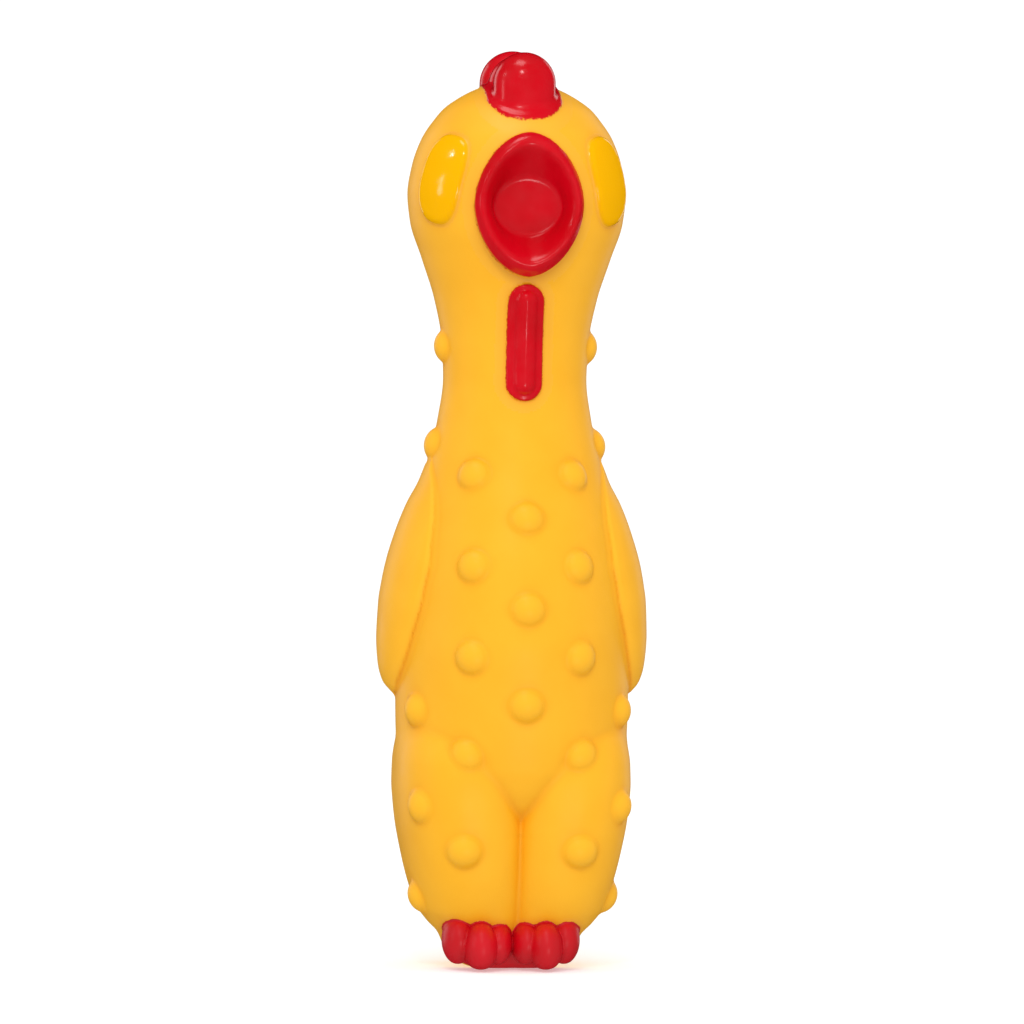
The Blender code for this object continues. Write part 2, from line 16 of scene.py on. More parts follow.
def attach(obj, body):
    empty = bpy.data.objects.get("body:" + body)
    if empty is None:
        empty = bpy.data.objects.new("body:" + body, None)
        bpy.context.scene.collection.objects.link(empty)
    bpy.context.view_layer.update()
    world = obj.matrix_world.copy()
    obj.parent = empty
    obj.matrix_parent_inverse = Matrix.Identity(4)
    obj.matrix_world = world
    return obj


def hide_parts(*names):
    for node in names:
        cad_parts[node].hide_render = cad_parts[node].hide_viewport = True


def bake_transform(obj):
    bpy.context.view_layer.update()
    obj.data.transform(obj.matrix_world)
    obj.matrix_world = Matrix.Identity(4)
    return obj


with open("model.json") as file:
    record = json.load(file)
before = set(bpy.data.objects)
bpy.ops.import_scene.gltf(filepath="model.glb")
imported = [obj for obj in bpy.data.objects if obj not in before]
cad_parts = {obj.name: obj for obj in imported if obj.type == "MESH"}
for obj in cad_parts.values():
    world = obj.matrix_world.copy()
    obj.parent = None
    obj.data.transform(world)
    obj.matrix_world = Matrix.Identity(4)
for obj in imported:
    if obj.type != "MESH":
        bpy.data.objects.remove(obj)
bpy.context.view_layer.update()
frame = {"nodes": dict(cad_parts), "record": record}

MM = 0.001

# ------------------------------------------------------------ dimensions, in mm, +Z up and -Y to the front

# Torso, neck and head: height, half width, front depth, back depth.
BODY = (
    (-5, 5.0, 5.0, 5.0),
    (15, 6.0, 6.0, 6.0),
    (24, 9.0, 8.0, 10.0),
    (28, 13.0, 9.0, 16.5),
    (30, 16.5, 13.6, 18.8),
    (32, 19.4, 16.5, 20.4),
    (34, 21.5, 18.8, 21.3),
    (36.5, 22.9, 20.8, 22.0),
    (40, 24.2, 22.8, 22.8),
    (44, 25.0, 24.4, 23.3),
    (50, 25.3, 25.5, 23.8),
    (59, 25.5, 26.6, 24.2),
    (72, 24.9, 28.0, 24.2),
    (87, 23.8, 26.6, 23.2),
    (100, 21.4, 23.0, 21.4),
    (111, 18.8, 19.0, 18.4),
    (120, 16.8, 16.9, 16.4),
    (128.6, 15.7, 16.0, 15.5),
    (137, 16.1, 16.6, 15.9),
    (146, 17.8, 18.6, 17.3),
    (155, 20.7, 21.3, 19.6),
    (163, 23.3, 23.5, 21.8),
    (169, 23.9, 24.2, 22.6),
    (175, 23.0, 23.9, 22.4),
    (181, 20.9, 21.9, 20.9),
    (185.4, 18.0, 18.8, 18.4),
    (187.6, 16.1, 16.7, 16.6),
    (189.8, 13.1, 13.5, 13.6),
)
CROWN = 193.8
CROWN_RADIUS = 22.8

# Thigh and leg: height, how far its outer side is from the middle, front depth, back depth.
LEG = (
    (-5, 7.5, 5.0, 13.5),
    (0, 10.0, 7.6, 15.0),
    (1.5, 12.2, 9.2, 16.0),
    (4, 14.0, 11.2, 17.4),
    (7.4, 15.6, 13.6, 19.0),
    (9.6, 17.7, 15.2, 19.6),
    (10.8, 18.7, 16.0, 19.9),
    (13, 20.3, 17.2, 20.4),
    (16, 21.4, 18.6, 20.9),
    (20.6, 22.8, 20.2, 21.7),
    (27.2, 24.3, 21.9, 22.7),
    (31.6, 25.1, 22.7, 23.3),
    (36, 25.6, 23.2, 23.8),
    (40.4, 25.9, 23.4, 24.2),
    (44.8, 25.8, 23.1, 24.4),
    (49.2, 25.2, 21.5, 24.3),
    (53, 24.0, 18.9, 23.6),
    (56, 22.3, 16.2, 22.3),
    (64, 14.0, 10.0, 14.0),
)
LEG_INNER = -4.0  # how far the two legs' outlines reach past the middle
LEG_POWER = 2.4  # of their superellipse
LEG_TOP = 63.0
LEG_SPAN = 40.0  # the most that one unit of the superellipse may count for, near the leg's axis
GROOVE_ROUND = 1.0
HIP_ROUND = 0.8
CREASE = (0.22, 1.2)  # depth and half width of the moulded line where the thighs meet the belly
CREASE_TOP = 53.0
CREASE_FADE = 10.0
SOLE_ROUND = 2.0

# Wing: height, direction of its front edge and back edge in degrees from the front, thickness.
WING = (
    (114, 84, 84, -3.0),
    (109.5, 76, 92, 0.0),
    (106.3, 68, 104, 0.75),
    (101.9, 61, 116, 2.2),
    (97.5, 58, 122, 3.1),
    (93.1, 57, 126, 3.7),
    (88.7, 56, 128, 4.25),
    (84.3, 58, 129, 4.7),
    (79.9, 60, 129, 5.0),
    (73.3, 66, 126, 4.95),
    (66.8, 73, 120, 4.25),
    (62.4, 81, 111, 2.9),
    (60.4, 87, 105, 1.2),
    (59.6, 94, 98, 0.0),
    (56, 95, 97, -6.0),
)
WING_ROUND = 2.0
WING_REACH = 25.0  # the body's rough radius, which turns a direction into a distance

# Nubs: directions in degrees from the front, and heights.
NUBS = (
    ((0,), (58.1, 79.0, 98.6)),
    ((180,), (36.4, 79.0, 98.8, 124.0, 144.0)),
    ((30.5, -30.5), (26.4,)),
    ((29.2, -29.2), (47.7,)),
    ((26.2, -26.2), (68.5,)),
    ((26.9, -26.9), (88.2,)),
    ((33.6, -33.6), (107.9,)),
    ((61.5, -61.5), (56.6,)),
    ((52.5, -52.5), (36.0,)),
    ((75, -75), (15.6,)),
    ((86, -86), (114.5, 135.6)),
    ((139, -139), (36.4, 57.6)),
    ((152, -152), (26.5, 47.7, 68.5, 88.3, 107.9, 134.0)),
)
NUB_RADIUS = 3.65
NUB_HEIGHT = 2.0
NUB_ROUND = 0.6
NUB_REACH = 8.0  # past this distance from a nub's centre it has no effect

TAIL = ((0.0, 24.2, 60.5), (5.0, 6.6, 7.6))
TAIL_ROUND = 1.6

# Head features. An edge is the rounding of a feature's own rim, and a foot is the fillet round its base.
HEAD_FROM = 120.0
EYES_FROM = 155.0
EYE_DIRECTION = 50.8
EYE_HEIGHT = 171.9
EYE_HALF = (6.0, 9.8)
EYE_POWER = 2.8
EYE_TILT = math.radians(13)
EYE_PROUD = 1.1
EYE_WEDGE = 0.03  # how much further it stands out towards the back, per mm
EYE_EDGE = 1.1
EYE_FOOT = 0.35

BEAK_HEIGHT = 166.35
BEAK_HALF = (11.9, 15.6)
BEAK_POWER = 1.8
BEAK_CREST = 25.4
BEAK_TIP = 3.0  # how much further forward the two tips are
BEAK_TAPER = 0.042  # share of the outline that the outer band draws in, per mm forward
BEAK_FACE = 22.6
BEAK_EDGE = 1.5
BEAK_FOOT = 0.4
LIP_SHARE = 0.90  # of the outline, inside which the lips slope down into the mouth
LIP_SLOPE = 0.7
LIP_EDGE = 2.6
MOUTH_FLOOR = 19.0
MOUTH_RIM = 25.0
MOUTH_FLOOR_HALF = (7.5, 6.0)
MOUTH_RIM_HALF = (8.9, 12.6)
MOUTH_FLOOR_HEIGHT = 165.9
MOUTH_RIM_HEIGHT = 166.9
MOUTH_BEYOND = 1.3  # how far past the rim the funnel goes on opening, as a share of its depth
MOUTH_FLARE = 0.85  # below 1, the mouth opens fastest near its floor
MOUTH_POWERS = (2.0, 1.62)  # of its outline, round at the floor and pointed at the rim
MOUTH_RADIUS = 7.0  # rough size of its outline, which turns a share into a distance
MOUTH_EDGE = 0.7

COMB_LOBES = (  # middle and half length from front to back, half width, top
    (-11.6, 6.4, 6.8, 199.6),
    (-1.6, 6.0, 6.6, 199.3),
    (8.6, 6.4, 7.3, 200.7),
)
COMB_RIDGE = (-2.0, 11.0, 6.0, 196.0)
COMB_POWER = 2.1  # of the lobes, seen from above
COMB_SKIRT = (8.2, -19.5, 15.4)  # half width, front end, back end
COMB_SKIRT_CORNER = 7.6
COMB_SKIRT_PROUD = 0.5
COMB_SKIRT_EDGE = 0.5
COMB_SKIRT_FOOT = 0.3
COMB_SKIRT_FROM = 178.0
COMB_FROM = 180.0
COMB_GAP = 0.8  # fillet between its lobes
COMB_FOOT = 1.0

WATTLE = (123.8, 149.2)
WATTLE_RADIUS = 4.0
WATTLE_PROUD = 0.9
WATTLE_EDGE = 0.9
WATTLE_FOOT = 0.3
WATTLE_RIDGE_RADIUS = 3.0
WATTLE_RIDGE_PROUD = 2.7
WATTLE_RIDGE_SHORT = 0.9  # how far the ridge stops short of each end
WATTLE_RIDGE_EDGE = 4.0
WATTLE_RIDGE_FOOT = 0.5

# Toes of the left foot: name, centre and radii.
TOES = (
    ("middle", (7.1, -15.4, 5.3), (3.7, 5.8, 5.4)),
    ("inner", (3.1, -12.6, 5.9), (3.2, 5.6, 4.7)),
    ("outer", (11.6, -11.2, 6.7), (3.5, 6.2, 5.4)),
)
TOES_OFF_CENTRE = -1.1
TOE_GAP = 0.35
TOE_FOOT = 0.5
FEET_TOP = 20.0

SQUEAKER_Y = 4.3
SOLE_HOLE = ((6.0, 2.6), (7.3, 13.5))  # radius and top of the hole in the sole and of the pocket above it

# Red paint.
PAINT_MARGIN = 0.8  # how far past the paint's edge a red piece goes
PAINTED = -2.0  # a distance that is well inside the paint
COMB_PAINTED_FROM = 193.5
BEAK_PAINT_FROM = 150.0
WATTLE_PAINT = (120.0, 151.0)  # the heights between which it may be
TOE_PAINT = 0.45  # how far the paint runs from a toe on to the leg
# Top, back, reach and half width of the paint on the low front of the feet, between the toes.
FEET_PAINT = (7.2, -4.5, 6.0, 12.6)
FEET_PAINT_FADE = 0.3  # below 1, the edge of that paint is ragged over a wider band
SIDE_WALL = 1.6  # how far outside a raised feature's outline its painted side wall may reach
PAINT_FOOT = 0.7  # the height above the skin at which that wall's paint starts
RED_PIECES = ("comb", "beak_rim", "mouth_pocket", "wattle")

# Where pieces meet, and between which heights or depths they bend.
WAIST = (41.5, 53.2)
LOWER_NECK = (103.2, 111.9)
UPPER_NECK = (119.0, 128.6)
BELLY_TILT = 0.056  # how far the plane that cuts off the belly cap leans, as a slope
BELLY_CAP = (30.05, 31.6)  # distance of that plane, and of the one past which the skin moves fully
BELLY_CAP_BOX = (9.6, 61.8, 95.0)  # half width, bottom, top
WING_TOP = 106.5
WING_LIFT = 0.05  # the skin belongs to the wing where it is this far outside the bare body
EYE_MARGIN = 0.5
TAIL_MARGIN = 0.5
MOUTH_MARGIN = 0.35
MOUTH_POCKET_FRONT = -24.0

# Meshing.
GRID = 0.5
COARSE = 4  # grid steps in one step of the coarse grid that finds the surface
COARSE_REACH = 1.6  # how many coarse steps from the surface the fine grid is still filled in
CHUNK = 400000
LOW = (-33.0, -33.0, -1.0)
HIGH = (33.0, 35.0, 205.0)
NOWHERE_NEAR = 30.0
RELIEF_REACH = 0.8
DEPTH_REACH = 3.0

# ------------------------------------------------------------ colours and finish

YELLOW = (0.94, 0.455, 0.015, 1)
YELLOW_DEEP = (0.92, 0.435, 0.012, 1)
# Painted highlight: a lighter yellow laid on bulges such as the nub tops, where light falls strongest.
YELLOW_PAINTED_HIGHLIGHT = (0.95, 0.468, 0.017, 1)
# Painted shade: a deeper orange laid in creases and hollows, where less light reaches.
YELLOW_PAINTED_SHADE = (0.86, 0.33, 0.004, 1)
VARNISHED = (0.91, 0.44, 0.001, 1)
RED = (0.63, 0.0008, 0.009, 1)
RED_DEEP = (0.55, 0.001, 0.006, 1)
MILKY = (0.80, 0.78, 0.72, 1)
FILM = (0.74, 0.78, 0.80, 1)
PAPER = (0.80, 0.80, 0.80)

EDGE_SPECKLE = 0.5  # how ragged the paint's edge is, in mm, at a fine and at a coarse scale
EDGE_WAVER = 0.35
EDGE_BLUR = 0.06
VARNISH_BLUR = 0.15
SATIN_ROUGHNESS = (0.40, 0.48)
PAINT_ROUGHNESS_SPREAD = 0.08
VARNISH_ROUGHNESS = 0.09
GRAIN_DEPTH = 0.006
ORANGE_PEEL_DEPTH = 0.02
PAINT_THICKNESS = 0.05
VINYL_IOR = 1.47

# ------------------------------------------------------------ studio, in metres, degrees and watts

# Soft boxes: place, width and height, power, whether they light surfaces, and whether gloss mirrors them.
SOFT_BOXES = {
    "key": ((-0.25, -1.6, 1.1), (1.0, 1.0), 12, True, False),
    "left_rim": ((-0.9, 1.3, 0.4), (0.5, 1.2), 2.5, False, True),
    "right_rim": ((0.95, 1.2, 0.4), (0.4, 1.2), 1.8, False, True),
    "top": ((-0.3, -0.3, 1.6), (0.7, 0.5), 4, False, True),
    "window": ((-1.4, -0.05, 0.28), (0.10, 0.34), 0.5, False, True),
    "lamp": ((-1.3, -0.1, 0.8), (0.06, 0.06), 0.5, False, True),
    "glint": ((-0.28, -1.2, 1.1), (0.07, 0.07), 1.6, True, True),
    "strip": ((0.12, -1.3, -0.32), (0.22, 0.24), 1.7, False, True),
}
LIGHTS_AIM = (0, 0, 0.1)
WORLD = 0.91
SWEEP_GLOW = 0.35
SWEEP_FLAT = 1.8
SWEEP_BEND = 1.4
SWEEP_TOP = 6.0
SWEEP_STEPS = 12
SWEEP_TURNS = 64

CAMERA_AZIMUTH = -7.3
CAMERA_ELEVATION = 1.0
CAMERA_DISTANCE = 1.6
CAMERA_LENS = 256.9
CAMERA_ROLL = 0.57
CAMERA_TARGET = (-0.0003, 0.0, 0.09953)


# ------------------------------------------------------------ curves

HEIGHTS = np.arange(-10, 215, 0.05)


def curve(heights, values):
    """A smooth curve through the knots that never overshoots them, sampled at HEIGHTS."""
    z = np.array(heights, float)
    v = np.array(values, float)
    order = np.argsort(z)
    z, v = z[order], v[order]
    span = np.diff(z)
    rise = np.diff(v) / span
    slope = np.zeros(len(z))
    slope[0], slope[-1] = rise[0], rise[-1]
    for i in range(1, len(z) - 1):
        if rise[i - 1] * rise[i] > 0:
            a, b = 2 * span[i] + span[i - 1], span[i] + 2 * span[i - 1]
            slope[i] = (a + b) / (a / rise[i - 1] + b / rise[i])
    i = np.clip(np.searchsorted(z, HEIGHTS) - 1, 0, len(z) - 2)
    t = np.clip((HEIGHTS - z[i]) / span[i], 0, 1)
    bend = t * t * (3 - 2 * t)
    swing = t * (1 - t) * ((1 - t) * slope[i] - t * slope[i + 1])
    return v[i] + (v[i + 1] - v[i]) * bend + span[i] * swing


def at(table, z):
    return np.interp(z, HEIGHTS, table)


def column(table, i):
    return curve([row[0] for row in table], [row[i] for row in table])


def crown_squared(z):
    """Square of the crown's radius at a height, negative above its top."""
    return 2 * CROWN_RADIUS * (CROWN - z) - (CROWN - z) ** 2


crown_heights = [192.0, 193.0, 196.0, 205.0]
BODY_WIDTH = curve(
    [row[0] for row in BODY] + crown_heights,
    [row[1] ** 2 for row in BODY] + [crown_squared(z) for z in crown_heights],
)
BODY_WIDTH_SLOPE = np.gradient(BODY_WIDTH, HEIGHTS)
BODY_FRONT = curve([row[0] for row in BODY], [(row[1] / row[2]) ** 2 for row in BODY])
BODY_FRONT_SLOPE = np.gradient(BODY_FRONT, HEIGHTS)
BODY_BACK = curve([row[0] for row in BODY], [(row[1] / row[3]) ** 2 for row in BODY])
BODY_BACK_SLOPE = np.gradient(BODY_BACK, HEIGHTS)
LEG_OUTER = column(LEG, 1)
LEG_FRONT = column(LEG, 2)
LEG_BACK = column(LEG, 3)
WING_FRONT = column(WING, 1)
WING_BACK = column(WING, 2)
WING_THICKNESS = column(WING, 3)


# ------------------------------------------------------------ building blocks of the surface


def join(a, b, rounding):
    """The two solids as one, with a fillet."""
    h = np.clip(0.5 + 0.5 * (b - a) / rounding, 0, 1)
    return b + (a - b) * h - rounding * h * (1 - h)


def overlap(a, b, rounding):
    """What the two solids share, with rounded edges."""
    return -join(-a, -b, rounding)


def ellipsoid(p, centre, radii):
    offset = p - np.array(centre)
    scaled = np.linalg.norm(offset / np.array(radii), axis=1)
    gradient = np.linalg.norm(offset / np.array(radii) ** 2, axis=1)
    return scaled * (scaled - 1) / np.maximum(gradient, 1e-6)


def superellipse(a, b, half_a, half_b, power):
    """1 on the outline, less inside it."""
    return (np.abs(a / half_a) ** power + np.abs(b / half_b) ** power) ** (1 / power)


def rounded_box(a, b, half_a, half_b, corner):
    """Distance from a rounded rectangle about the origin."""
    over_a = np.abs(a) - half_a + corner
    over_b = np.abs(b) - half_b + corner
    outside = np.hypot(np.maximum(over_a, 0), np.maximum(over_b, 0))
    return outside + np.minimum(np.maximum(over_a, over_b), 0) - corner


def quadric(x, y, width, width_slope, ratio, ratio_slope):
    """Distance from the surface x^2 + ratio y^2 = width, where width and ratio change with height."""
    value = x * x + ratio * y * y - width
    half_slope = np.sqrt((2 * x) ** 2 + (2 * ratio * y) ** 2 + (ratio_slope * y * y - width_slope) ** 2) / 2
    return value / (half_slope + np.sqrt(np.maximum(half_slope**2 - value, 1e-4)))


def trunk(p):
    """Torso, neck and head as one smooth form, and the direction round it in degrees from the front."""
    x, y, z = p.T
    front = y < 0
    ratio = np.where(front, at(BODY_FRONT, z), at(BODY_BACK, z))
    ratio_slope = np.where(front, at(BODY_FRONT_SLOPE, z), at(BODY_BACK_SLOPE, z))
    distance = quadric(x, y, at(BODY_WIDTH, z), at(BODY_WIDTH_SLOPE, z), ratio, ratio_slope)
    return distance, np.degrees(np.arctan2(np.abs(x), -y * np.sqrt(ratio)))


def one_leg(x, y, z):
    outer = at(LEG_OUTER, z)
    middle = (outer + LEG_INNER) / 2
    half = (outer - LEG_INNER) / 2
    depth = np.where(y < 0, at(LEG_FRONT, z), at(LEG_BACK, z))
    a = np.abs(x - middle) / half
    b = np.abs(y) / depth
    shape = (a**LEG_POWER + b**LEG_POWER) ** (1 / LEG_POWER)
    inner = np.maximum(shape, 1e-3)
    slope = np.hypot((a / inner) ** (LEG_POWER - 1) / half, (b / inner) ** (LEG_POWER - 1) / depth)
    return (shape - 1) / np.maximum(slope, 1 / LEG_SPAN)


def legs(p):
    x, y, z = p.T
    pair = join(one_leg(x, y, z), one_leg(-x, y, z), GROOVE_ROUND)
    return np.maximum(pair, z - LEG_TOP)


def base_form(p):
    """Body and legs, before anything raised is added, with the trunk's own distance and direction."""
    bare_trunk, direction = trunk(p)
    pair = legs(p)
    depth, half_width = CREASE
    line = np.exp(-(((bare_trunk - pair) / half_width) ** 2))
    line *= np.clip((CREASE_TOP - p[:, 2]) / CREASE_FADE, 0, 1)
    return join(bare_trunk, pair, HIP_ROUND) + depth * line, bare_trunk, direction


def surface_point(direction, height):
    """Where a horizontal ray from the axis leaves the base form, and the outward normal there."""
    angle = math.radians(direction)
    ray = np.array([math.sin(angle), -math.cos(angle), 0.0])
    near, far = 4.0, 40.0
    for _ in range(40):
        middle = (near + far) / 2
        inside = base_form(np.array([ray * middle + [0, 0, height]]))[0][0] < 0
        near, far = (middle, far) if inside else (near, middle)
    at_surface = ray * near + [0, 0, height]
    return at_surface, gradient(lambda p: base_form(p)[0], at_surface[None])[0]


def gradient(field, p, step=0.05):
    slopes = []
    for axis in range(3):
        shift = np.zeros(3)
        shift[axis] = step
        slopes.append((field(p + shift) - field(p - shift)) / (2 * step))
    return np.stack(slopes, axis=1)


# ------------------------------------------------------------ features


def nub_centres():
    """Centres of the spheres that the nubs are caps of, and the spheres' radius."""
    sphere = (NUB_RADIUS**2 + NUB_HEIGHT**2) / (2 * NUB_HEIGHT)
    centres = []
    for directions, heights in NUBS:
        for direction in directions:
            for height in heights:
                point, normal = surface_point(direction, height)
                normal /= np.linalg.norm(normal)
                centres.append(point - normal * (sphere - NUB_HEIGHT))
    return np.array(centres), sphere


def add_nubs(p, form):
    form = form.copy()
    for centre in NUB_CENTRES:
        near = np.abs(p[:, 2] - centre[2]) < NUB_REACH
        near[near] = np.linalg.norm(p[near] - centre, axis=1) < NUB_REACH
        ball = np.linalg.norm(p[near] - centre, axis=1) - NUB_SPHERE
        form[near] = join(form[near], ball, NUB_ROUND)
    return form


def wing_share(z, direction):
    """How far across the wing a direction is: 0 in its middle, 1 at its edges."""
    front_edge = at(WING_FRONT, z)
    back_edge = at(WING_BACK, z)
    half = np.maximum((back_edge - front_edge) / 2, 1.0)
    return np.abs(direction - (front_edge + back_edge) / 2) / half, half


def wings(p, bare_trunk, direction):
    share, half = wing_share(p[:, 2], direction)
    dome = np.sqrt(np.maximum(1 - share**2, 0))
    beyond = np.maximum(share - 1, 0) * np.radians(half) * WING_REACH
    thickness = at(WING_THICKNESS, p[:, 2])
    return bare_trunk - np.where(thickness > 0, thickness * dome, thickness) + beyond


def eye_frame(side):
    """The eye's middle on the skin, and the two directions along its width and height."""
    point, normal = surface_point(side * EYE_DIRECTION, EYE_HEIGHT)
    normal /= np.linalg.norm(normal)
    across = np.cross([0, 0, 1], normal) * side
    across /= np.linalg.norm(across)
    up = np.cross(normal, across) * side
    tilted_across = across * math.cos(EYE_TILT) + up * math.sin(EYE_TILT)
    tilted_up = up * math.cos(EYE_TILT) - across * math.sin(EYE_TILT)
    return point, tilted_across, tilted_up


def eye_outline(p, side):
    """Distance outside the eye's outline, and how far towards the back the point is."""
    point, across, up = EYE_FRAMES[side]
    offset = p - point
    a, b = offset @ across, offset @ up
    shape = superellipse(a, b, *EYE_HALF, EYE_POWER)
    distance = (shape - 1) * EYE_HALF[0]
    return np.where(p[:, 0] * side > 0, distance, NOWHERE_NEAR), a


def add_eyes(p, form, bare_trunk):
    for side in (-1, 1):
        outline, a = eye_outline(p, side)
        plate = overlap(bare_trunk - (EYE_PROUD + EYE_WEDGE * a), outline, EYE_EDGE)
        form = join(form, plate, EYE_FOOT)
    return form


def beak_outline(p, shrink=0.0):
    """Distance outside the beak's outline as seen from the front."""
    shape = superellipse(p[:, 0], p[:, 2] - BEAK_HEIGHT, *BEAK_HALF, BEAK_POWER)
    return np.where(p[:, 1] < 0, (shape - 1 + shrink) * BEAK_HALF[0], NOWHERE_NEAR)


def funnel(p):
    """The open mouth, from its floor to beyond the lips."""
    x, y, z = p.T
    share = (-y - MOUTH_FLOOR) / (MOUTH_RIM - MOUTH_FLOOR)
    ease = np.clip(share, 0, MOUTH_BEYOND) ** MOUTH_FLARE
    half_x = MOUTH_FLOOR_HALF[0] + (MOUTH_RIM_HALF[0] - MOUTH_FLOOR_HALF[0]) * ease
    half_z = MOUTH_FLOOR_HALF[1] + (MOUTH_RIM_HALF[1] - MOUTH_FLOOR_HALF[1]) * ease
    middle = MOUTH_FLOOR_HEIGHT + (MOUTH_RIM_HEIGHT - MOUTH_FLOOR_HEIGHT) * ease
    power = MOUTH_POWERS[0] + (MOUTH_POWERS[1] - MOUTH_POWERS[0]) * np.clip(share, 0, 1)
    walls = (superellipse(x, z - middle, half_x, half_z, power) - 1) * MOUTH_RADIUS
    return overlap(walls, y + MOUTH_FLOOR, MOUTH_EDGE)


def add_beak(p, form):
    forward = -p[:, 1]
    draw_in = BEAK_TAPER * np.maximum(forward - BEAK_FACE, 0)
    sides = beak_outline(p, draw_in)
    tip = np.clip((p[:, 2] - BEAK_HEIGHT) / BEAK_HALF[1], -1.1, 1.1)
    dip = LIP_SLOPE * np.maximum(LIP_SHARE * BEAK_HALF[0] - BEAK_HALF[0] - beak_outline(p), 0)
    lips = overlap(sides, forward - BEAK_CREST - BEAK_TIP * tip**2 + dip, BEAK_EDGE)
    form = join(form, lips, BEAK_FOOT)
    return overlap(form, -funnel(p), LIP_EDGE)


def comb_lobe(p, middle, half_length, half_width, top):
    """An upright pillow with a round top."""
    x, y, z = p.T
    across = np.hypot(x, np.maximum(z - (top - half_width), 0))
    return (superellipse(across, y - middle, half_width, half_length, COMB_POWER) - 1) * half_width


def comb_skirt_outline(p):
    """Distance outside the outline of the comb's foot as seen from above."""
    half_width, front, back = COMB_SKIRT
    half_length = (back - front) / 2
    flat = rounded_box(p[:, 0], p[:, 1] - (front + back) / 2, half_width, half_length, COMB_SKIRT_CORNER)
    return np.where(p[:, 2] > COMB_SKIRT_FROM, flat, NOWHERE_NEAR)


def add_comb(p, form, bare_trunk):
    skirt = overlap(bare_trunk - COMB_SKIRT_PROUD, comb_skirt_outline(p), COMB_SKIRT_EDGE)
    form = join(form, skirt, COMB_SKIRT_FOOT)
    lobes = comb_lobe(p, *COMB_RIDGE)
    for lobe in COMB_LOBES:
        lobes = join(lobes, comb_lobe(p, *lobe), COMB_GAP)
    lobes = np.maximum(lobes, COMB_FROM - p[:, 2])
    return join(form, lobes, COMB_FOOT)


def capsule_outline(p, radius, margin=0.0):
    """Distance from an upright capsule as seen from the front."""
    low, high = WATTLE[0] + margin, WATTLE[1] - margin
    beyond = p[:, 2] - np.clip(p[:, 2], low + radius, high - radius)
    return np.where(p[:, 1] < 0, np.hypot(p[:, 0], beyond) - radius, NOWHERE_NEAR)


def add_wattle(p, form, bare_trunk):
    pad = overlap(bare_trunk - WATTLE_PROUD, capsule_outline(p, WATTLE_RADIUS), WATTLE_EDGE)
    ridge_outline = capsule_outline(p, WATTLE_RIDGE_RADIUS, WATTLE_RIDGE_SHORT)
    ridge = overlap(bare_trunk - WATTLE_RIDGE_PROUD, ridge_outline, WATTLE_RIDGE_EDGE)
    return join(form, join(pad, ridge, WATTLE_RIDGE_FOOT), WATTLE_FOOT)


def toe(p, side, centre, radii):
    placed = (side * centre[0] + TOES_OFF_CENTRE, centre[1], centre[2])
    return ellipsoid(p, placed, radii)


def all_toes(p):
    """Distance from each toe, by name."""
    found = {}
    for side, side_name in ((1, "left"), (-1, "right")):
        for name, centre, radii in TOES:
            found[f"{side_name}_{name}_toe"] = toe(p, side, centre, radii)
    return found


def add_feet(p, form):
    low = p[:, 2] < FEET_TOP
    near = p[low]
    toes = None
    for distance in all_toes(near).values():
        toes = distance if toes is None else join(toes, distance, TOE_GAP)
    foot = join(form[low], toes, TOE_FOOT)
    foot = overlap(foot, -near[:, 2], SOLE_ROUND)
    off_axis = np.hypot(near[:, 0], near[:, 1] - SQUEAKER_Y)
    for radius, top in SOLE_HOLE:
        foot = np.maximum(foot, -np.maximum(off_axis - radius, near[:, 2] - top))
    form = form.copy()
    form[low] = foot
    return form


def chicken(p):
    """The whole moulding: negative inside."""
    form, bare_trunk, direction = base_form(p)
    form = add_nubs(p, form)
    form = join(form, wings(p, bare_trunk, direction), WING_ROUND)
    form = join(form, ellipsoid(p, *TAIL), TAIL_ROUND)
    form = add_feet(p, form)
    high = p[:, 2] > HEAD_FROM
    if high.any():
        head, bare = form[high], bare_trunk[high]
        head = add_wattle(p[high], head, bare)
        head = add_eyes(p[high], head, bare)
        head = add_comb(p[high], head, bare)
        head = add_beak(p[high], head)
        form[high] = head
    return form


NUB_CENTRES, NUB_SPHERE = nub_centres()
EYE_FRAMES = {side: eye_frame(side) for side in (-1, 1)}


# ------------------------------------------------------------ meshing

CORNERS = np.array([(i, j, k) for i in (0, 1) for j in (0, 1) for k in (0, 1)])
CORNER_PAIRS = [(a, b) for a in range(8) for b in range(a + 1, 8)]
CELL_EDGES = [(a, b) for a, b in CORNER_PAIRS if np.abs(CORNERS[a] - CORNERS[b]).sum() == 1]


def grid_values():
    """The field on the grid: exact near the surface, and only the right sign elsewhere."""
    low = np.array(LOW)
    step = GRID * COARSE
    counts = np.ceil((np.array(HIGH) - low) / step).astype(int)
    centres = np.stack(np.meshgrid(*[np.arange(n) for n in counts], indexing="ij"), axis=-1).reshape(-1, 3)
    rough = chicken(low + (centres + 0.5) * step).reshape(counts)
    values = rough
    for axis in range(3):
        values = values.repeat(COARSE, axis=axis)
    close = np.abs(rough) < step * COARSE_REACH
    for axis in range(3):
        close = close.repeat(COARSE, axis=axis)
    index = np.argwhere(close)
    for chunk in np.array_split(np.arange(len(index)), max(1, len(index) // CHUNK)):
        cells = index[chunk]
        values[tuple(cells.T)] = chicken(low + cells * GRID)
    return values


